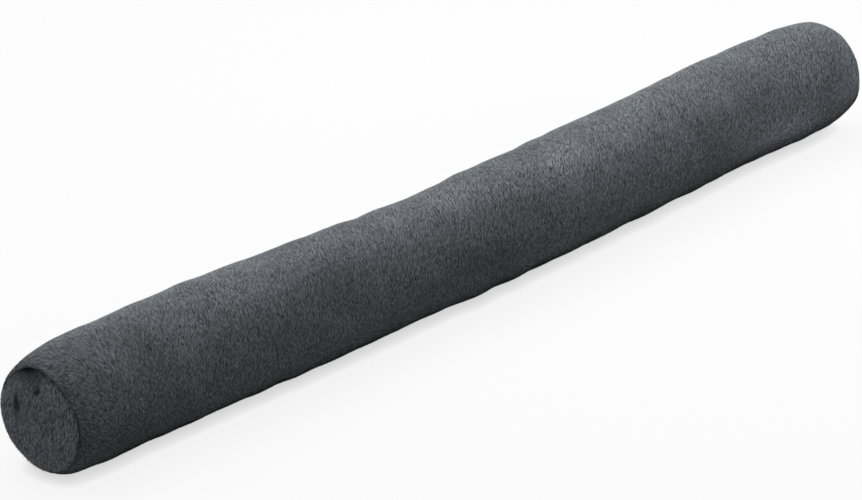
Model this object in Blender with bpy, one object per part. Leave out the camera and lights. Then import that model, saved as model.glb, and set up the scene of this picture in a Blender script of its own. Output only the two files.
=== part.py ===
"""A stuffed draught excluder: a long tube of plush with a round panel sewn into each end.

+X runs along the tube, from the near end to the far end, and +Z is up. The tube lies on z = 0, and the origin is
in the middle of its box, on the surface that it lies on. Everything is in metres.

Each piece starts as an evenly turned form about the X axis, with the near seam at x = 0. The cloth's own shape is
then given to it point by point: its girth, its soft dents and folds, its bend, and the strip that lies flat.
"""

import math
from collections import namedtuple

import bmesh
import bpy
from mathutils import Vector

SEAM_TO_SEAM = 0.884          # the tube panel's length between the two end seams
TUBE_RADIUS = 0.0475          # the even radius that the turned forms start from
PANEL_RADIUS = 0.0372         # an end panel, at its seam
PANEL_THICKNESS = 0.0025      # plush cloth with its pile pressed down
PANEL_CROWN = 0.0080          # how far the filling pushes an end panel out
SEAM_TUCK = 0.0030            # how deep the cloth on each side dips at an end seam
TUCK_REACH = 0.0045           # how far from the seam the dip has faded
GAP = 0.0003                  # between an end panel and the tube that it is seated in

AROUND = 40                   # points in one turn
RING_PITCH = 0.015            # between the rings of points along the tube
SHOULDER_RINGS = 9
PANEL_RINGS = {"near": 11, "far": 7}

SINK = 0.0020                 # how far the round form would sink below the surface it lies on
SOFTNESS = 0.0010             # how gently the cloth leaves that surface
SAG = 0.010                   # share by which a section is wider than round, and lower

# Length of the rounded shoulder between an end seam and the tube's full girth.
SHOULDER = {"near": 0.053, "far": 0.069}

# The stuffed tube's girth and its slight bend, from the near seam (0) to the far seam (1).
Station = namedtuple("Station", "share radius sideways")
STATIONS = (
    Station(0.0, 0.0488, 0.0022),
    Station(0.1, 0.0485, 0.0040),
    Station(0.2, 0.0489, 0.0014),
    Station(0.3, 0.0479, -0.0013),
    Station(0.4, 0.0454, -0.0024),
    Station(0.5, 0.0464, -0.0046),
    Station(0.6, 0.0467, -0.0038),
    Station(0.7, 0.0468, -0.0014),
    Station(0.8, 0.0466, 0.0014),
    Station(0.9, 0.0471, 0.0033),
    Station(1.0, 0.0490, -0.0003),
)

# Slow swells in the filling: how many along the tube, how many around it, where each starts, and how high it is.
Swell = namedtuple("Swell", "along around start height")
SWELLS = (
    Swell(5.0, 1, 0.4, 0.0004),
    Swell(8.5, 2, 2.1, 0.0004),
    Swell(13.0, 1, 4.0, 0.0003),
)

# Short folds in the tube's skin: middle as a share of the length and an angle (degrees, 0 at +Y, 90 on top), length
# around the tube, width, slant, and depth.
Fold = namedtuple("Fold", "share angle length width slant depth")
TUBE_FOLDS = (
    Fold(0.923, 204.0, 0.036, 0.0060, 0.0, 0.0022),
    Fold(0.868, 228.0, 0.030, 0.0090, 20.0, 0.0016),
    Fold(0.020, 75.0, 0.030, 0.0100, 70.0, 0.0014),
)

# Creases in the near panel: middle (y, z from its centre), length, width, slant from upright, and depth. A negative
# depth is a bulge. The first two are narrow, and the rest are broad and soft.
Crease = namedtuple("Crease", "y z length width slant depth")
NEAR_CREASES = (
    Crease(0.0235, 0.0070, 0.0110, 0.0030, 15.0, 0.0050),
    Crease(0.0020, 0.0256, 0.0070, 0.0032, -25.0, 0.0042),
    Crease(0.0130, 0.0150, 0.0090, 0.0060, 0.0, -0.0018),
    Crease(0.0080, 0.0350, 0.0070, 0.0160, 0.0, 0.0030),
    Crease(0.0240, 0.0280, 0.0150, 0.0150, 0.0, 0.0040),
    Crease(0.0200, -0.0150, 0.0180, 0.0160, 0.0, -0.0020),
)
NEAR_TILT = -0.045            # slope of the near seam, its -Y side drawn in
NEAR_DROOP = 0.0035           # how far the near seam hangs down on its -Y side
DROOP_REACH = 0.012           # how far along the tube that has nearly gone

SLATE = (0.052, 0.060, 0.066, 1.0)


def along_stations(share, column):
    """One column of the stations at a share of the length, on a smooth curve through the rows."""
    last = len(STATIONS) - 1
    place = min(max(share, 0.0), 1.0) * last
    row = min(int(place), last - 1)
    values = [getattr(STATIONS[min(max(row + step, 0), last)], column) for step in (-1, 0, 1, 2)]
    before, start, end, after = values
    t = place - row
    return start + 0.5 * t * (
        end - before
        + t * (2 * before - 5 * start + 4 * end - after + t * (3 * (start - end) + after - before))
    )


def soft_spot(across, along, width, length):
    """1 in the middle of a fold, fading to 0 past its width and its length."""
    return math.exp(-((across / width) ** 2) - (along / length) ** 2)


def seam_dip(distance):
    """How far the cloth dips at a distance from an end seam."""
    return SEAM_TUCK * math.exp(-distance / TUCK_REACH)


def panel_face(radius):
    """The outer face of an end panel, measured inwards from its seam."""
    crown = PANEL_CROWN * (1 - (radius / PANEL_RADIUS) ** 2)
    return seam_dip(PANEL_RADIUS - radius) - crown


def panel_radii(end, rim):
    """The radii of the rings of points on an end panel, from the middle out to the rim."""
    rings = PANEL_RINGS[end]
    return [rim * ring / rings for ring in range(rings + 1)]


def panel_profile(end):
    """Half of an end panel's section, down its outer face and back along its inner one: inwards, radius."""
    radii = panel_radii(end, PANEL_RADIUS)
    outer = [(panel_face(radius), radius) for radius in radii]
    inner = [(inwards + PANEL_THICKNESS, radius) for inwards, radius in reversed(outer)]
    return outer + inner


def seat_profile(end):
    """The shallow seat that an end panel lies in, from the middle out to its wall: inwards, radius."""
    floor = [(panel_face(radius) + PANEL_THICKNESS + GAP, radius) for radius in panel_radii(end, PANEL_RADIUS)]
    deepest = floor[-1][0]
    return floor[:-1] + [(deepest, PANEL_RADIUS + GAP)]


def shoulder_profile(end):
    """The shoulder from the seam to the tube's full girth, a quarter of an oval: inwards, radius."""
    start = PANEL_RADIUS + GAP
    rise = TUBE_RADIUS - start
    points = []
    for ring in range(SHOULDER_RINGS + 1):
        turn = 0.5 * math.pi * (ring / SHOULDER_RINGS) ** 1.25
        radius = start + rise * math.sin(turn)
        inwards = SHOULDER[end] * (1 - math.cos(turn)) + seam_dip(radius - start)
        points.append((inwards, radius))
    return points


def end_profile(end):
    """One end of the tube, from the middle of its seat to the start of its full girth: inwards, radius."""
    return seat_profile(end) + shoulder_profile(end)


def tube_profile():
    """Half of the tube's section, from the middle of the near seat to the middle of the far one: x, radius."""
    first = SHOULDER["near"]
    last = SEAM_TO_SEAM - SHOULDER["far"]
    spaces = round((last - first) / RING_PITCH)
    side = [(first + (last - first) * ring / spaces, TUBE_RADIUS) for ring in range(1, spaces)]
    near = end_profile("near")
    far = [(SEAM_TO_SEAM - inwards, radius) for inwards, radius in reversed(end_profile("far"))]
    return near + side + far


def turned(profile):
    """A closed form: the profile, a list of (x, radius), spun about the X axis."""
    form = bmesh.new()
    points = [form.verts.new((x, 0.0, radius)) for x, radius in profile]
    edges = [form.edges.new(pair) for pair in zip(points, points[1:])]
    bmesh.ops.spin(
        form,
        geom=points + edges,
        cent=(0.0, 0.0, 0.0),
        axis=(1.0, 0.0, 0.0),
        angle=2 * math.pi,
        steps=AROUND,
        use_merge=True,
    )
    bmesh.ops.remove_doubles(form, verts=form.verts, dist=1e-6)
    bmesh.ops.recalc_face_normals(form, faces=form.faces)
    return form


def filled(point):
    """The swells and folds of the filling: how far the skin stands out from the even form at this point."""
    angle = math.atan2(point.z, point.y)
    share = point.x / SEAM_TO_SEAM
    off_floor = 0.5 + 0.5 * math.sin(angle)
    stand = 0.0
    for swell in SWELLS:
        phase = swell.along * math.pi * share + swell.around * angle + swell.start
        stand += swell.height * math.sin(phase) * off_floor
    for fold in TUBE_FOLDS:
        around = math.remainder(angle - math.radians(fold.angle), 2 * math.pi) * TUBE_RADIUS
        along = (share - fold.share) * SEAM_TO_SEAM
        slant = math.radians(fold.slant)
        across = along * math.cos(slant) - around * math.sin(slant)
        down = along * math.sin(slant) + around * math.cos(slant)
        stand -= fold.depth * soft_spot(across, down, fold.width, 0.5 * fold.length)
    return stand


def drawn_in(point):
    """How far the near end is drawn in along X at this point, by its tilted seam and the panel's creases."""
    fade = math.exp(-max(point.x, 0.0) / SHOULDER["near"])
    inwards = NEAR_TILT * point.y * fade
    if point.x < SHOULDER["near"]:
        for crease in NEAR_CREASES:
            slant = math.radians(crease.slant)
            side = point.y - crease.y
            rise = point.z - crease.z
            across = side * math.cos(slant) - rise * math.sin(slant)
            down = side * math.sin(slant) + rise * math.cos(slant)
            inwards += crease.depth * fade * soft_spot(across, down, crease.width, crease.length)
    return inwards


def dropped(point):
    """How far the near end hangs down at this point."""
    fade = math.exp(-max(point.x, 0.0) / DROOP_REACH)
    side = 0.5 - 0.5 * min(max(point.y / PANEL_RADIUS, -1.0), 1.0)
    return NEAR_DROOP * side * fade


def pressed(height):
    """A height above the surface, once the soft cloth lies on it: flat below, untouched above."""
    if height <= -SOFTNESS:
        return 0.0
    if height >= SOFTNESS:
        return height
    return (height + SOFTNESS) ** 2 / (4 * SOFTNESS)


def laid(point):
    """Where a point of an evenly turned form is on the stuffed tube, lying on z = 0."""
    share = point.x / SEAM_TO_SEAM
    girth = along_stations(share, "radius")
    radius = math.hypot(point.y, point.z)
    grown = girth / TUBE_RADIUS
    if radius > 0:
        skin = min(radius / TUBE_RADIUS, 1.0) ** 2
        grown += filled(point) * skin / radius
    y = point.y * grown * (1 + SAG) + along_stations(share, "sideways")
    z = point.z * grown * (1 - SAG) + girth * (1 - SAG) - SINK - dropped(point)
    return Vector((point.x + drawn_in(point), y, pressed(z)))


def plush():
    """Short-pile plush, dark slate grey and quite matt."""
    material = bpy.data.materials.new("slate plush")
    material.use_nodes = True
    shader = material.node_tree.nodes["Principled BSDF"]
    shader.inputs["Base Color"].default_value = SLATE
    shader.inputs["Roughness"].default_value = 0.95
    shader.inputs["Metallic"].default_value = 0.0
    return material


def sewn_piece(name, profile):
    """A piece of the draught excluder from its turned profile, shaped as it lies."""
    form = turned(profile)
    for corner in form.verts:
        corner.co = laid(corner.co)
    # The shorter diagonal is the same one in a panel and in its seat, which keeps their gap even in a crease.
    bmesh.ops.triangulate(form, faces=form.faces, quad_method="SHORT_EDGE")
    mesh = bpy.data.meshes.new(name)
    form.to_mesh(mesh)
    form.free()
    mesh.shade_smooth()
    mesh.set_sharp_from_angle(angle=math.radians(50))
    mesh.materials.append(plush())
    piece = bpy.data.objects.new(name, mesh)
    bpy.context.scene.collection.objects.link(piece)
    return piece


def set_in_frame(pieces):
    """Moves the pieces so that the origin is in the middle of their box, at the bottom."""
    corners = [corner.co for piece in pieces for corner in piece.data.vertices]
    lowest = [min(corner[axis] for corner in corners) for axis in range(3)]
    highest = [max(corner[axis] for corner in corners) for axis in range(3)]
    middle = Vector((
        0.5 * (lowest[0] + highest[0]),
        0.5 * (lowest[1] + highest[1]),
        lowest[2],
    ))
    for piece in pieces:
        piece.location = -middle


def main():
    for old in list(bpy.data.objects):
        bpy.data.objects.remove(old, do_unlink=True)
    near = panel_profile("near")
    far = [(SEAM_TO_SEAM - inwards, radius) for inwards, radius in panel_profile("far")]
    pieces = [
        sewn_piece("tube", tube_profile()),
        sewn_piece("end_panel_near", near),
        sewn_piece("end_panel_far", far),
    ]
    set_in_frame(pieces)


main()
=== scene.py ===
"""The looks of a stuffed draught excluder: a tube of short-pile plush with a round panel sewn into each end.

Everything is in metres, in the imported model's own frame: +X runs along the tube to its far end, +Z is up, and
the tube lies on z = 0. Angles around the tube are 0 at +Y, 90 on top and 180 at -Y, the side that the camera
sees.
"""

import math
from collections import namedtuple

import bmesh
import bpy
import numpy as np
from mathutils import Matrix, Vector, noise
from mathutils.bvhtree import BVHTree


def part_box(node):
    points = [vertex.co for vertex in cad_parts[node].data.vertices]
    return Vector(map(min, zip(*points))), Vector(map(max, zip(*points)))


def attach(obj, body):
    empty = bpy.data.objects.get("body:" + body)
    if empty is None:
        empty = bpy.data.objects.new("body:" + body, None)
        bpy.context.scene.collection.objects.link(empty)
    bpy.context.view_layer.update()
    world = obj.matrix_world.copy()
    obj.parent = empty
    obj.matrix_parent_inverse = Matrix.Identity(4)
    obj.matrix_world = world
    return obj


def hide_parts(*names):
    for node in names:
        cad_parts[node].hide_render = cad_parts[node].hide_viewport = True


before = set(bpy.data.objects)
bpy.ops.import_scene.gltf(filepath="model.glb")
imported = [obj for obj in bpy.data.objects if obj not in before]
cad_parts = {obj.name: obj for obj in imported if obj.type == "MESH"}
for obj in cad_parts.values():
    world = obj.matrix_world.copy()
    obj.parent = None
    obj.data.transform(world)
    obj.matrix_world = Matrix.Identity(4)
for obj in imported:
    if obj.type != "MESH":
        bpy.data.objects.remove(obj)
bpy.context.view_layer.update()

# Camera: a long lens some 3.6 m away, on the near end's side and 25 degrees above the floor. The tube runs
# away from it to the upper right and fills the picture.
LENS = 192.1                    # mm, for a sensor 36 mm wide
AZIMUTH = math.radians(-46.96)
ELEVATION = math.radians(24.91)
DISTANCE = 3.556
ASIDE = -0.0247                 # the camera is moved sideways and up, so that both ends are in the picture
RAISED = 0.0264

back = Vector((
    math.sin(AZIMUTH) * math.cos(ELEVATION),
    -math.cos(AZIMUTH) * math.cos(ELEVATION),
    math.sin(ELEVATION),
))
right = Vector((math.cos(AZIMUTH), math.sin(AZIMUTH), 0.0))
up = back.cross(right)
camera = bpy.data.objects.new("camera", bpy.data.cameras.new("camera"))
camera.data.lens = LENS
camera.matrix_world = (
    Matrix.Translation(back * DISTANCE + right * ASIDE + up * RAISED)
    @ Matrix((right, up, back)).transposed().to_4x4()
)
bpy.context.scene.collection.objects.link(camera)
bpy.context.scene.camera = camera


def linear(code):
    """A colour as sRGB hex, such as "#45494C", turned to linear red, green, blue and alpha."""
    shares = [int(code[place:place + 2], 16) / 255 for place in (1, 3, 5)]
    return [s / 12.92 if s <= 0.04045 else ((s + 0.055) / 1.055) ** 2.4 for s in shares] + [1.0]


def add_node(tree, kind, settings=None, inputs=None):
    """Adds a node with its settings and inputs. An input that is another node's output is linked."""
    node = tree.nodes.new(kind)
    for name, value in (settings or {}).items():
        setattr(node, name, value)
    for name, value in (inputs or {}).items():
        if isinstance(value, bpy.types.NodeSocket):
            tree.links.new(value, node.inputs[name])
        else:
            node.inputs[name].default_value = value
    return node


def new_material(name):
    """A material with only its Principled shader, and that shader."""
    material = bpy.data.materials.new(name)
    material.use_nodes = True
    return material, material.node_tree.nodes["Principled BSDF"]


# Studio: the tube lies on a wide light table, a sheet of opal acrylic lit from below, so the floor is white.
# Its shadow is faint: partly the lamps' real shadow, and near the tube a painted shadow that dims the glow.
# The room lights the cloth evenly, and a soft sun from behind and two softboxes give it its form.
FLOOR_SIZE = 30.0
OPAL_GREY = "#565656"           # what the sheet adds to its glow by reflecting the lamps
GLOW = 0.873
CONTACT_REACH = 0.0105          # painted shadow: the glow is dimmed this close to where the tube shades it
CONTACT_SHADE = 0.70
ROOM_ABOVE = 0.41
ROOM_BELOW = 0.31
HORIZON_BLEND = 0.2             # the room's upper and lower halves blend this far above and below the horizon
TINT_ABOVE = (1.0, 1.0, 1.0, 1.0)
TINT_BELOW = (0.99, 0.955, 1.0, 1.0)

acrylic, acrylic_shader = new_material("opal acrylic")
acrylic_shader.inputs["Base Color"].default_value = linear(OPAL_GREY)
acrylic_shader.inputs["Roughness"].default_value = 0.9
acrylic_shader.inputs["Specular IOR Level"].default_value = 0.0
acrylic_shader.inputs["Emission Color"].default_value = (1.0, 1.0, 1.0, 1.0)
# painted contact shadow: ambient occlusion near the tube dims the floor's glow
painted_contact_shadow = add_node(
    acrylic.node_tree, "ShaderNodeAmbientOcclusion", {"samples": 8}, {"Distance": CONTACT_REACH}
)
glow = add_node(
    acrylic.node_tree, "ShaderNodeMapRange", {},
    {"Value": painted_contact_shadow.outputs["AO"], "To Min": GLOW * CONTACT_SHADE, "To Max": GLOW},
)
acrylic.node_tree.links.new(glow.outputs[0], acrylic_shader.inputs["Emission Strength"])
floor_mesh = bpy.data.meshes.new("floor")
corner = 0.5 * FLOOR_SIZE
floor_mesh.from_pydata(
    [(-corner, -corner, 0), (corner, -corner, 0), (corner, corner, 0), (-corner, corner, 0)],
    [],
    [(0, 1, 2, 3)],
)
floor_mesh.materials.append(acrylic)
floor = bpy.data.objects.new("floor", floor_mesh)
floor.visible_diffuse = False   # the sheet throws no light up at the cloth
floor.visible_glossy = False
bpy.context.scene.collection.objects.link(floor)

world = bpy.data.worlds.new("white room")
world.use_nodes = True
room = world.node_tree.nodes["Background"]
direction = add_node(world.node_tree, "ShaderNodeTexCoord")
height = add_node(world.node_tree, "ShaderNodeSeparateXYZ", {}, {0: direction.outputs["Generated"]})
across_horizon = {"Value": height.outputs["Z"], "From Min": -HORIZON_BLEND, "From Max": HORIZON_BLEND}
brightness = add_node(
    world.node_tree, "ShaderNodeMapRange", {}, across_horizon | {"To Min": ROOM_BELOW, "To Max": ROOM_ABOVE}
)
world.node_tree.links.new(brightness.outputs[0], room.inputs["Strength"])
height_share = add_node(world.node_tree, "ShaderNodeMapRange", {}, across_horizon)
tint = add_node(
    world.node_tree, "ShaderNodeMix", {"data_type": "RGBA"},
    {0: height_share.outputs[0], 6: TINT_BELOW, 7: TINT_ABOVE},
)
world.node_tree.links.new(tint.outputs[2], room.inputs["Color"])
bpy.context.scene.world = world

Lamp = namedtuple("Lamp", "name kind place aim power size")     # a sun's size is an angle in degrees
LAMPS = (
    Lamp("high sun", "SUN", (0.0, 0.9, 2.5), (0.0, 0.0, 0.0), 0.98, 50),
    Lamp("top softbox", "AREA", (0.25, 0.35, 0.90), (0.10, 0.0, 0.05), 5.2, 0.9),
    Lamp("far softbox", "AREA", (0.80, -0.45, 0.25), (0.40, 0.0, 0.05), 2.2, 0.35),
)
for lamp in LAMPS:
    light = bpy.data.lights.new(lamp.name, lamp.kind)
    light.energy = lamp.power
    if lamp.kind == "SUN":
        light.angle = math.radians(lamp.size)
    else:
        light.size = lamp.size
    holder = bpy.data.objects.new(lamp.name, light)
    towards = Vector(lamp.place) - Vector(lamp.aim)
    facing = towards.to_track_quat("Z", "Y").to_matrix().to_4x4()
    holder.matrix_world = Matrix.Translation(lamp.place) @ facing
    bpy.context.scene.collection.objects.link(holder)
bpy.context.scene.view_settings.view_transform = "Standard"

# Tube cloth: the knitted polyester ground that the pile stands on, one panel sewn into a tube round the
# filling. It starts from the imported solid, one pile's depth further in, and its seats for the panels are
# drawn in a little.
PILE_DEPTH = 0.0009             # from the ground cloth out to the surface of the lying pile
FILLING_PRESSURE = 4.0
FILLING_FRAMES = 20
MOST_SWELL = 0.003              # how far the filling may move the cloth
LUMP_SIZE = 0.022               # the filling makes shallow lumps about this far apart
LUMP_HEIGHT = 0.0012            # and at most this high or deep
SEAT_SINK = 0.006               # the tube's hidden ends lie this far behind their panels
SEAT_REACH = 0.0006             # points of the tube this near a panel belong to that panel's seat
SEAM_DRAW = 0.985               # the tube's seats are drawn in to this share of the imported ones
SEAM_PILE = 0.0025              # the pile starts this far inside a panel's edge, so it fills the seam
# the ground cloth's grey is painted near black, as the shade deep in the pile
GROUND_AND_SHADE_GREY = "#222025"
SAME_POINT = 1e-6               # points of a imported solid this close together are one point
QUAD_BEND = math.radians(60)    # two of its triangles become a quad where they bend less than this
QUAD_SKEW = math.radians(80)    # and the quad is skewed less than this
TINY = 1e-9                     # keeps a division from being one by zero

near_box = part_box("end_panel_near")
far_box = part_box("end_panel_far")
NEAR_CENTRE = 0.5 * (near_box[0] + near_box[1])
PANEL_RADIUS = 0.5 * (near_box[1].z - near_box[0].z)


def loose_copy(node, name):
    """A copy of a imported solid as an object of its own, with its loose triangles joined to quads."""
    form = bmesh.new()
    form.from_mesh(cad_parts[node].data)
    bmesh.ops.remove_doubles(form, verts=form.verts, dist=SAME_POINT)
    bmesh.ops.join_triangles(
        form,
        faces=form.faces,
        angle_face_threshold=QUAD_BEND,
        angle_shape_threshold=QUAD_SKEW,
    )
    mesh = bpy.data.meshes.new(name)
    form.to_mesh(mesh)
    form.free()
    mesh.shade_smooth()
    piece = bpy.data.objects.new(name, mesh)
    bpy.context.scene.collection.objects.link(piece)
    return piece


def points_of(mesh):
    """The mesh's points, one row each."""
    points = np.empty(len(mesh.vertices) * 3, np.float32)
    mesh.vertices.foreach_get("co", points)
    return points.reshape(-1, 3)


def normals_of(mesh):
    """The mesh's normals, one row for each point."""
    normals = np.empty(len(mesh.vertices) * 3, np.float32)
    mesh.vertex_normals.foreach_get("vector", normals)
    return normals.reshape(-1, 3)


def move_points(mesh, points):
    """Puts the mesh's points in these places."""
    mesh.vertices.foreach_set("co", points.astype(np.float32).ravel())
    mesh.update()


def finer(piece, levels):
    """Subdivides a piece smoothly and applies the result to its mesh."""
    steps = piece.modifiers.new("finer", "SUBSURF")
    steps.levels = levels
    steps.render_levels = levels
    apply_modifiers(piece)


def apply_modifiers(piece):
    """Turns the evaluated piece into its plain mesh."""
    evaluated = piece.evaluated_get(bpy.context.evaluated_depsgraph_get())
    mesh = bpy.data.meshes.new_from_object(evaluated)
    piece.modifiers.clear()
    old = piece.data
    piece.data = mesh
    mesh.name = piece.name
    bpy.data.meshes.remove(old)


def fill(piece, sewn):
    """Swells a closed piece of cloth like a stuffed cushion, held where it is sewn, by MOST_SWELL at most."""
    start = points_of(piece.data)
    held = piece.vertex_groups.new(name="sewn")
    held.add([int(number) for number in np.nonzero(sewn)[0]], 1.0, "REPLACE")
    cloth = piece.modifiers.new("filling", "CLOTH")
    cloth.settings.use_pressure = True
    cloth.settings.uniform_pressure_force = FILLING_PRESSURE
    cloth.settings.vertex_group_mass = "sewn"
    cloth.settings.effector_weights.gravity = 0.0
    cloth.point_cache.frame_start = 1
    cloth.point_cache.frame_end = FILLING_FRAMES
    for number in range(1, FILLING_FRAMES + 1):
        bpy.context.scene.frame_set(number)
    swollen = piece.evaluated_get(bpy.context.evaluated_depsgraph_get())
    moves = points_of(swollen.data) - start
    piece.modifiers.remove(cloth)
    piece.vertex_groups.clear()
    distance = np.linalg.norm(moves, axis=1, keepdims=True)
    move_points(piece.data, start + moves * np.minimum(1.0, MOST_SWELL / np.maximum(distance, TINY)))


def angle_around(points):
    """The angle of each point around the tube's axis."""
    low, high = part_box("tube")
    middle = 0.5 * (low + high)
    return np.arctan2(points[:, 2] - middle.z, points[:, 1] - middle.y)


def beside(points, node):
    """For each point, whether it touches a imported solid."""
    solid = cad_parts[node].data
    corners = [point.co for point in solid.vertices]
    surface = BVHTree.FromPolygons(corners, [face.vertices for face in solid.polygons])
    return np.array([surface.find_nearest(Vector(point), SEAT_REACH)[0] is not None for point in points])


def store(mesh, name, values, domain="POINT"):
    """Keeps a number or a vector for each point, or each face, of a mesh."""
    kind, field = ("FLOAT", "value") if values.ndim == 1 else ("FLOAT_VECTOR", "vector")
    attribute = mesh.attributes.new(name, kind, domain)
    attribute.data.foreach_set(field, values.astype(np.float32).ravel())


def stored(mesh, name):
    """The values of a number that is stored for each point of a mesh."""
    values = np.empty(len(mesh.vertices), np.float32)
    mesh.attributes[name].data.foreach_get("value", values)
    return values


# What the knitted ground gives the eye is only depth: the pile hides it, and it shows as dark between the
# tufts. It is the real backing cloth, with its grey painted near black as the shade deep in the pile.
ground, ground_shader = new_material("knitted polyester ground")
ground_shader.inputs["Base Color"].default_value = linear(GROUND_AND_SHADE_GREY)
ground_shader.inputs["Roughness"].default_value = 0.95
ground_shader.inputs["Specular IOR Level"].default_value = 0.2

tube_cloth = loose_copy("tube", "tube_cloth")
points = points_of(tube_cloth.data)
inside = -PILE_DEPTH * normals_of(tube_cloth.data)
seat = np.zeros(len(points), np.float32)
for node, box in (("end_panel_near", near_box), ("end_panel_far", far_box)):
    touching = beside(points, node)
    centre = np.array((0.5 * (box[0] + box[1])).yz)
    inside[touching, 1:] = (centre - points[touching, 1:]) * (1.0 - SEAM_DRAW)
    seat[touching] = 1.0
move_points(tube_cloth.data, points + inside)
store(tube_cloth.data, "seat", seat)
finer(tube_cloth, 1)
seat = stored(tube_cloth.data, "seat")
in_seat = seat > 0.5
fill(tube_cloth, in_seat)
points = points_of(tube_cloth.data)
lumps = np.array([noise.noise(Vector(point) / LUMP_SIZE) for point in points])
points += (LUMP_HEIGHT * lumps * (1.0 - seat))[:, None] * normals_of(tube_cloth.data)
hidden = np.zeros(len(points), bool)
for box in (near_box, far_box):
    middle = 0.5 * (box[0] + box[1])
    outwards = np.hypot(points[:, 1] - middle.y, points[:, 2] - middle.z)
    here = in_seat & (points[:, 0] * middle.x > 0)
    sink = SEAT_SINK * np.clip(1.0 - outwards / PANEL_RADIUS, 0.0, 1.0) ** 0.5
    points[here, 0] -= math.copysign(1.0, middle.x) * sink[here]
    hidden |= here & (outwards < PANEL_RADIUS - SEAM_PILE)
points[:, 2] = np.maximum(points[:, 2], 0.5 * PILE_DEPTH)
move_points(tube_cloth.data, points)
tube_cloth.data.materials.append(ground)
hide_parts("tube")
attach(tube_cloth, "root")

# End panels: a disc of the same plush sewn into each end, which the filling pushes out. The near one has
# the creases that its seam and the filling give it: a slit, a small spot, and a band under the top of its
# seam, each darkened with painted shade.
RIM_STAND = 0.0016              # how far the near panel's rim stands proud of the tube's cloth
RIM_WIDTH = 0.0050
RIM_FOLD_MIDDLE = math.radians(80)  # here at its top the tube's cloth folds over the rim instead
RIM_FOLD_SPREAD = math.radians(32)
PANEL_FINER = 2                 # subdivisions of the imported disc's faces
DARK_SIDE = 0.6                 # a crease's painted shade lies this share of its width towards +Y, on the wall that shows

# Creases of the near panel: middle (y, z from the panel's own), length, width, slant from upright, how much
# deeper they are than in the imported disc, and how bare of pile the fold is and how dark its painted shade,
# from 0 to 1.
Crease = namedtuple("Crease", "y z length width slant depth bare")
NEAR_CREASES = (
    Crease(0.0144, 0.0130, 0.0074, 0.0032, 28.0, 0.0028, 0.85),
    Crease(-0.0018, 0.0226, 0.0046, 0.0034, -35.0, 0.0030, 0.80),
    Crease(0.0115, 0.0330, 0.0072, 0.0220, -8.0, 0.0024, 0.78),
)


def creased(points, centre):
    """How deep each point of the near panel lies in its creases, and how bare of pile and dark with painted
    shade it is there.
    """
    deep = np.zeros(len(points))
    bare = np.zeros(len(points))
    for crease in NEAR_CREASES:
        slant = math.radians(crease.slant)
        side = points[:, 1] - centre.y - crease.y
        rise = points[:, 2] - centre.z - crease.z
        across = side * math.cos(slant) - rise * math.sin(slant)
        down = side * math.sin(slant) + rise * math.cos(slant)
        inside = np.exp(-(across / crease.width) ** 2 - (down / crease.length) ** 2)
        deep += crease.depth * inside
        seen = np.exp(-(across / crease.width - DARK_SIDE) ** 2 - (down / crease.length) ** 2)
        bare = np.maximum(bare, crease.bare * seen)
    return deep, bare


def panel_cloth(node, name, inwards):
    """An end panel's ground cloth. Inwards is the sign of X from the panel to the tube."""
    piece = loose_copy(node, name)
    points = points_of(piece.data)
    points[:, 0] += inwards * PILE_DEPTH
    move_points(piece.data, points)
    finer(piece, PANEL_FINER)
    piece.data.materials.append(ground)
    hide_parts(node)
    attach(piece, "root")
    return piece


near_cloth = panel_cloth("end_panel_near", "near_panel_cloth", 1)
far_cloth = panel_cloth("end_panel_far", "far_panel_cloth", -1)
points = points_of(near_cloth.data)
deep, near_bare_and_shaded = creased(points, NEAR_CENTRE)
spoke = points[:, 1:] - np.array(NEAR_CENTRE.yz)
out = np.linalg.norm(spoke, axis=1)
rim = np.exp(-np.maximum(PANEL_RADIUS - out, 0.0) / RIM_WIDTH)
under_fold = np.exp(-((np.arctan2(spoke[:, 1], spoke[:, 0]) - RIM_FOLD_MIDDLE) / RIM_FOLD_SPREAD) ** 2)
points[:, 0] += deep - RIM_STAND * (1.0 - under_fold) * rim
move_points(near_cloth.data, points)

# Pile: the short polyester fibres of the plush, which lie over in the direction that the cloth was brushed.
# A tuft is a lock of a few fibres, one long three-cornered blade. It is drawn coarser than real fibres, so
# that it shows.
TUFT_LENGTH = 0.0027
TUFT_WIDTH = 0.00052
TUFT_SPACING = 0.00042
NAP_ALONG = 0.45                # the pile lies up around the tube and, on top, this much to its far end
COMB = 2.7                      # beside the near seam it is combed towards the seam instead
COMB_REACH = 0.027              # and this far along the tube that has nearly gone
PLUSH_GREY = "#7D8388"
FLOOR_GAP = 0.0002              # no tuft reaches lower than this above the floor

tuft_mesh = bpy.data.meshes.new("tuft")
tuft_mesh.from_pydata(
    [(0.0, 0.5 * TUFT_WIDTH, 0.0), (0.0, -0.5 * TUFT_WIDTH, 0.0), (TUFT_LENGTH, 0.0, 0.0)], [], [(0, 1, 2)]
)
tip = tuft_mesh.attributes.new("tip", "FLOAT", "POINT")
tip.data.foreach_set("value", [0.0, 0.0, 1.0])
tuft = bpy.data.objects.new("tuft", tuft_mesh)
bpy.context.scene.collection.objects.link(tuft)

# The pile's material: polyester fibre is half clear and softly shiny, so brushed plush is matt face on and
# paler at a glancing angle. Each tuft has its own shade, and every tuft is painted darker at its root, as shade
# deep in the pile. A number stored on the cloth makes whole patches lighter or darker: where the nap lies
# another way, as painted shade beside the near seam and in the creases, and as painted light and shade in
# some patches.
SHADE_RANGE = (0.15, 1.85)      # the darkest and palest tufts, beside the plush's own grey
# painted shade: every tuft is darker towards its root, as deep in the pile
ROOT_SHADE_TO_TIP = (0.40, 1.20)
NAP_PATCH = 0.045               # size of the soft patches where the pile lies a little differently
NAP_RANGE = (0.86, 1.14)
NOISE_RANGE = (0.3, 0.7)        # nearly all of a noise's values lie between these
SHEEN = 0.05
SHEEN_TINT = "#E6EDF2"

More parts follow.
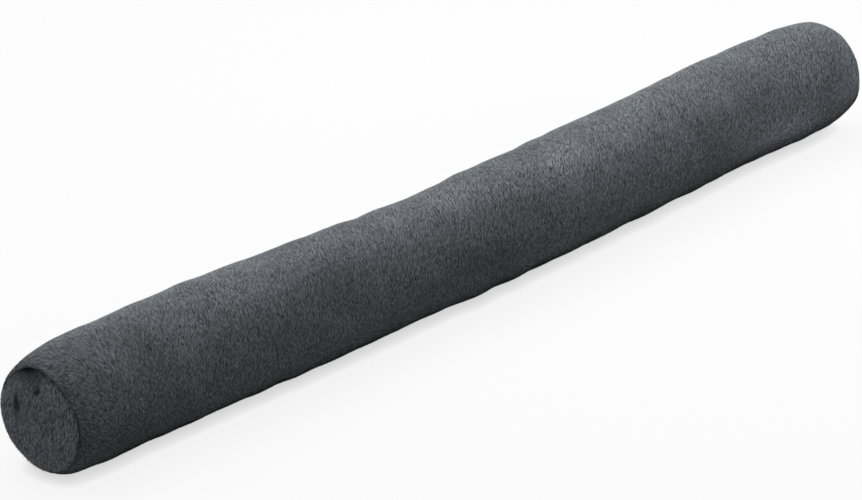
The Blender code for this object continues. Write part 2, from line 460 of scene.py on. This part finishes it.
pile, pile_shader = new_material("brushed polyester pile")
nodes = pile.node_tree
shade = add_node(nodes, "ShaderNodeAttribute", {"attribute_name": "shade"})
along = add_node(nodes, "ShaderNodeAttribute", {"attribute_name": "tip"})
nap_and_painted_light = add_node(nodes, "ShaderNodeAttribute", {"attribute_name": "tone"})
place = add_node(nodes, "ShaderNodeTexCoord")
patches = add_node(
    nodes, "ShaderNodeTexNoise", {},
    {"Vector": place.outputs["Object"], "Scale": 1 / NAP_PATCH, "Detail": 2.0, "Roughness": 0.5},
)
tuft_tone = add_node(
    nodes, "ShaderNodeMapRange", {},
    {"Value": shade.outputs["Fac"], "To Min": SHADE_RANGE[0], "To Max": SHADE_RANGE[1]},
)
# painted shade towards each tuft's root
root_painted_shade = add_node(
    nodes, "ShaderNodeMapRange", {},
    {"Value": along.outputs["Fac"], "To Min": ROOT_SHADE_TO_TIP[0], "To Max": ROOT_SHADE_TO_TIP[1]},
)
nap_tone = add_node(
    nodes, "ShaderNodeMapRange", {},
    {
        "Value": patches.outputs[0], "From Min": NOISE_RANGE[0], "From Max": NOISE_RANGE[1],
        "To Min": NAP_RANGE[0], "To Max": NAP_RANGE[1],
    },
)
full_tone = tuft_tone.outputs[0]
for share in (root_painted_shade.outputs[0], nap_tone.outputs[0], nap_and_painted_light.outputs["Fac"]):
    full_tone = add_node(
        nodes, "ShaderNodeMath", {"operation": "MULTIPLY"}, {0: full_tone, 1: share}
    ).outputs[0]
grey = add_node(nodes, "ShaderNodeRGB")
grey.outputs[0].default_value = linear(PLUSH_GREY)
toned = add_node(
    nodes, "ShaderNodeVectorMath", {"operation": "SCALE"}, {0: grey.outputs[0], "Scale": full_tone}
)
nodes.links.new(toned.outputs[0], pile_shader.inputs["Base Color"])
pile_shader.inputs["Roughness"].default_value = 0.85
pile_shader.inputs["Specular IOR Level"].default_value = 0.3
pile_shader.inputs["Sheen Weight"].default_value = SHEEN
pile_shader.inputs["Sheen Roughness"].default_value = 0.5
pile_shader.inputs["Sheen Tint"].default_value = linear(SHEEN_TINT)

TUFT_INPUTS = {
    "Cloth": "NodeSocketGeometry",
    "Tuft": "NodeSocketObject",
    "From": "NodeSocketFloat",
    "To": "NodeSocketFloat",
    "Spacing": "NodeSocketFloat",
    "Lift": "NodeSocketFloat",
    "Seed": "NodeSocketInt",
    "Material": "NodeSocketMaterial",
}
TUFT_LIFT = 0.13                # radians, how far a tuft stands off the cloth
TUFT_SIZES = (0.75, 1.2)
LIFT_SPREAD = 0.06              # radians, how unevenly single tufts stand, turn and roll
PALE_LIFT = 0.18                # the palest tufts stand this much higher than the darkest ones: painted light on the raised tufts, painted shade low in the pile
TURN_SPREAD = 0.16
ROLL_SPREAD = 0.35
LOCK_SIZE = 0.005               # neighbouring tufts lean the same way over about this distance
LOCK_TURN = 0.5
DRIFT_SIZE = 0.035              # and the whole nap drifts slowly over about this one
DRIFT_TURN = 1.0
MOST_POINTS = 4.5 / TUFT_SPACING ** 2   # tries for each square metre, before those too close together go
TUFT_MARGIN = 0.12              # of a tuft's square in the UV map for baking


def pile_tree():
    """Geometry nodes that grow tufts on a cloth, between two shares of a turn around the tube."""
    tree = bpy.data.node_groups.new("pile", "GeometryNodeTree")
    for name, kind in TUFT_INPUTS.items():
        tree.interface.new_socket(name=name, in_out="INPUT", socket_type=kind)
    tree.interface.new_socket(name="Pile", in_out="OUTPUT", socket_type="NodeSocketGeometry")
    given = add_node(tree, "NodeGroupInput").outputs
    where = add_node(tree, "GeometryNodeInputPosition").outputs[0]
    turned = add_node(tree, "GeometryNodeInputNamedAttribute", {"data_type": "FLOAT"}, {"Name": "turned"})
    before = add_node(
        tree, "FunctionNodeCompare", {"data_type": "FLOAT", "operation": "LESS_THAN"},
        {0: turned.outputs[0], 1: given["From"]},
    )
    after = add_node(
        tree, "FunctionNodeCompare", {"data_type": "FLOAT", "operation": "GREATER_EQUAL"},
        {0: turned.outputs[0], 1: given["To"]},
    )
    outside = add_node(
        tree, "FunctionNodeBooleanMath", {"operation": "OR"}, {0: before.outputs[0], 1: after.outputs[0]}
    )
    stretch = add_node(
        tree, "GeometryNodeDeleteGeometry", {"domain": "FACE"},
        {"Geometry": given["Cloth"], "Selection": outside.outputs[0]},
    )
    grows = add_node(tree, "GeometryNodeInputNamedAttribute", {"data_type": "FLOAT"}, {"Name": "grows"})
    nap = add_node(tree, "GeometryNodeInputNamedAttribute", {"data_type": "FLOAT_VECTOR"}, {"Name": "nap"})
    roots = add_node(
        tree, "GeometryNodeDistributePointsOnFaces", {"distribute_method": "POISSON"},
        {
            "Mesh": stretch.outputs[0], "Distance Min": given["Spacing"], "Density Max": MOST_POINTS,
            "Density Factor": grows.outputs[0], "Seed": given["Seed"],
        },
    )

    def random(low, high, salt):
        return add_node(
            tree, "FunctionNodeRandomValue", {"data_type": "FLOAT"}, {2: low, 3: high, "Seed": salt}
        ).outputs[1]

    def waver(size, turn):
        cloud = add_node(
            tree, "ShaderNodeTexNoise", {}, {"Vector": where, "Scale": 1 / size, "Detail": 1.0}
        )
        return add_node(
            tree, "ShaderNodeMath", {"operation": "MULTIPLY_ADD"},
            {0: cloud.outputs[0], 1: turn, 2: -0.5 * turn},
        ).outputs[0]

    def total(first, second):
        return add_node(tree, "ShaderNodeMath", {"operation": "ADD"}, {0: first, 1: second}).outputs[0]

    shared_turn = total(waver(LOCK_SIZE, LOCK_TURN), waver(DRIFT_SIZE, DRIFT_TURN))
    turn = total(shared_turn, random(-TURN_SPREAD, TURN_SPREAD, 1))
    even = random(0.0, 1.0, 4)
    paleness = add_node(tree, "ShaderNodeMath", {"operation": "MULTIPLY"}, {0: even, 1: even}).outputs[0]
    raised = add_node(
        tree, "ShaderNodeMath", {"operation": "MULTIPLY_ADD"},
        {0: paleness, 1: -PALE_LIFT, 2: 0.5 * PALE_LIFT},
    )
    stood = total(random(-LIFT_SPREAD, LIFT_SPREAD, 2), raised.outputs[0])
    drop = add_node(tree, "ShaderNodeMath", {"operation": "SUBTRACT"}, {0: stood, 1: given["Lift"]})
    lean = add_node(
        tree, "ShaderNodeCombineXYZ", {},
        {"X": random(-ROLL_SPREAD, ROLL_SPREAD, 3), "Y": drop.outputs[0], "Z": turn},
    )
    lying = add_node(
        tree, "FunctionNodeAxesToRotation", {"primary_axis": "Z", "secondary_axis": "X"},
        {0: roots.outputs["Normal"], 1: nap.outputs[0]},
    )
    tilt = add_node(tree, "FunctionNodeEulerToRotation", {}, {0: lean.outputs[0]})
    leaning = add_node(
        tree, "FunctionNodeRotateRotation", {"rotation_space": "LOCAL"},
        {0: lying.outputs[0], 1: tilt.outputs[0]},
    )
    shaded = add_node(
        tree, "GeometryNodeStoreNamedAttribute", {"data_type": "FLOAT", "domain": "POINT"},
        {"Geometry": roots.outputs["Points"], "Name": "shade", "Value": paleness},
    )
    model = add_node(tree, "GeometryNodeObjectInfo", {}, {"Object": given["Tuft"]})
    tufts = add_node(
        tree, "GeometryNodeInstanceOnPoints", {},
        {
            "Points": shaded.outputs[0],
            "Instance": model.outputs["Geometry"],
            "Rotation": leaning.outputs[0],
            "Scale": random(*TUFT_SIZES, 5),
        },
    )
    real = add_node(tree, "GeometryNodeRealizeInstances", {}, {0: tufts.outputs[0]})
    height = add_node(tree, "ShaderNodeSeparateXYZ", {}, {0: where})
    on_floor = add_node(
        tree, "ShaderNodeMath", {"operation": "MAXIMUM"}, {0: height.outputs["Z"], 1: FLOOR_GAP}
    )
    kept_up = add_node(
        tree, "ShaderNodeCombineXYZ", {},
        {"X": height.outputs["X"], "Y": height.outputs["Y"], "Z": on_floor.outputs[0]},
    )
    settled = add_node(
        tree, "GeometryNodeSetPosition", {}, {"Geometry": real.outputs[0], "Position": kept_up.outputs[0]}
    )
    dyed = add_node(
        tree, "GeometryNodeSetMaterial", {}, {"Geometry": settled.outputs[0], "Material": given["Material"]}
    )
    add_node(tree, "NodeGroupOutput", {}, {0: dyed.outputs[0]})
    return tree


def brush(cloth, grows, nap, tone):
    """Keeps where a cloth's pile grows, from 0 to 1, which way it is brushed, and how light it looks, painted
    light and shade included.
    """
    store(cloth.data, "grows", grows)
    store(cloth.data, "nap", nap)
    store(cloth.data, "tone", tone)


def lay_out(mesh):
    """Gives each tuft half a small square of a UV map for baking its colours."""
    tufts = len(mesh.polygons)
    squares = math.ceil(math.sqrt(0.5 * tufts))
    near, far = TUFT_MARGIN, 1.0 - TUFT_MARGIN
    halves = np.array([
        [(near, near), (far - near, near), (near, far - near)],
        [(far, far), (2 * near, far), (far, 2 * near)],
    ])
    number = np.arange(tufts)
    square = number // 2
    corners = halves[number % 2]
    spots = (np.stack([square % squares, square // squares], axis=1)[:, None] + corners) / squares
    bake = mesh.uv_layers.new(name="OFBake")
    bake.data.foreach_set("uv", spots.astype(np.float32).ravel())


def grow_pile(cloth, name, seed, start=-1.0, end=2.0):
    """Grows the pile of a cloth as a plain mesh, all of it or from one share of a turn to another."""
    grower = bpy.data.objects.new(name, cloth.data)
    bpy.context.scene.collection.objects.link(grower)
    modifier = grower.modifiers.new("pile", "NODES")
    modifier.node_group = pile_nodes
    values = {
        "Tuft": tuft,
        "From": start,
        "To": end,
        "Spacing": TUFT_SPACING,
        "Lift": TUFT_LIFT,
        "Seed": seed,
        "Material": pile,
    }
    for socket in pile_nodes.interface.items_tree:
        if socket.name in values:
            modifier[socket.identifier] = values[socket.name]
    evaluated = grower.evaluated_get(bpy.context.evaluated_depsgraph_get())
    mesh = bpy.data.meshes.new_from_object(evaluated)
    grower.modifiers.clear()
    grower.data = mesh
    mesh.name = name
    lay_out(mesh)
    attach(grower, "root")


# The tube's pile, in strips that run its whole length. It starts a little inside the panels' edges, so that
# the seams look soft. Beside the near seam it is painted darker, as shade, most on the camera's side.
STRIPS = 5
SEAM_SHADE = 0.45               # painted shade: how much darker the pile beside the near seam is made
SEAM_SHADE_REACH = 0.010
SEAM_SHADE_SIDE = math.radians(165)

# Soft patches of the pile are lighter or darker: partly where the nap was stroked another way or the filling
# presses it out, and partly painted light and shade, most of all the much paler lower side near the far end.
# Columns: middle of the patch along the tube and around it, its reach along and around, and its tone beside
# the rest's.
NapAndLightPatch = namedtuple("NapAndLightPatch", "x around length turn tone")
NAP_AND_LIGHT_PATCHES = (
    NapAndLightPatch(-0.394, 196, 0.050, 24, 0.76),
    NapAndLightPatch(-0.378, 100, 0.035, 22, 0.80),
    NapAndLightPatch(-0.317, 115, 0.025, 10, 1.12),
    NapAndLightPatch(-0.222, 97, 0.012, 16, 1.18),
    NapAndLightPatch(-0.184, 134, 0.045, 18, 0.80),
    NapAndLightPatch(-0.053, 114, 0.040, 14, 1.22),
    NapAndLightPatch(-0.022, 189, 0.080, 14, 0.78),
    NapAndLightPatch(0.104, 126, 0.065, 24, 1.30),
    NapAndLightPatch(0.123, 164, 0.045, 14, 1.18),
    NapAndLightPatch(0.110, 207, 0.060, 10, 1.25),
    NapAndLightPatch(0.340, 204, 0.038, 17, 1.90),
    NapAndLightPatch(0.389, 132, 0.045, 34, 0.85),
)

pile_nodes = pile_tree()
points = points_of(tube_cloth.data)
around = angle_around(points)
along_tube = points[:, 0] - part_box("tube")[0].x
grows = np.where(hidden, 0.0, 1.0)
combed = COMB * np.exp(-along_tube / COMB_REACH)
nap = np.stack([NAP_ALONG * np.sin(around) - combed, np.sin(around), -np.cos(around)], axis=1)
# painted shade beside the near seam, strongest on the camera's side
shaded_side = 0.5 + 0.5 * np.cos(around - SEAM_SHADE_SIDE)
tone = 1.0 - SEAM_SHADE * shaded_side * np.exp(-along_tube / SEAM_SHADE_REACH)
# soft patches, partly of the pile's nap and partly painted light and shade
for patch in NAP_AND_LIGHT_PATCHES:
    off_middle = (np.degrees(around) - patch.around + 180.0) % 360.0 - 180.0
    within = np.exp(-((points[:, 0] - patch.x) / patch.length) ** 2 - (off_middle / patch.turn) ** 2)
    tone *= 1.0 + (patch.tone - 1.0) * within
brush(tube_cloth, grows, nap, tone)
faces = tube_cloth.data.polygons
centres = np.empty(len(faces) * 3, np.float32)
faces.foreach_get("center", centres)
turned = angle_around(centres.reshape(-1, 3)) / (2 * math.pi) + 0.5
store(tube_cloth.data, "turned", turned, "FACE")
for number in range(STRIPS):
    strip = f"tube_pile_{number + 1}"
    grow_pile(tube_cloth, strip, number, number / STRIPS, (number + 1) / STRIPS)

# The panels' pile is brushed straight down. It is thin in the creases, and painted shade makes them dark.
CREASE_SHADE = 1.15
DARKEST_CREASE = 0.20
THINNING = 2.6                  # how fast pile thins out in a fold, with none left where it is fully bare
MOST_INWARDS = 0.3              # pile grows where the cloth's normal leans no more than this into the tube
down = np.array([0.0, 0.0, -1.0])
for cloth, name, seed, inwards, bare in (
    (near_cloth, "near_panel_pile", 11, 1, near_bare_and_shaded),
    (far_cloth, "far_panel_pile", 12, -1, np.zeros(len(far_cloth.data.vertices))),
):
    outer = normals_of(cloth.data)[:, 0] * inwards < MOST_INWARDS
    # painted shade in the creases, down to DARKEST_CREASE
    tone = np.maximum(1.0 - CREASE_SHADE * bare, DARKEST_CREASE)
    grows = outer * np.clip(THINNING - THINNING * bare, 0.0, 1.0)
    brush(cloth, grows, np.tile(down, (len(outer), 1)), tone)
    grow_pile(cloth, name, seed)
bpy.data.objects.remove(tuft)
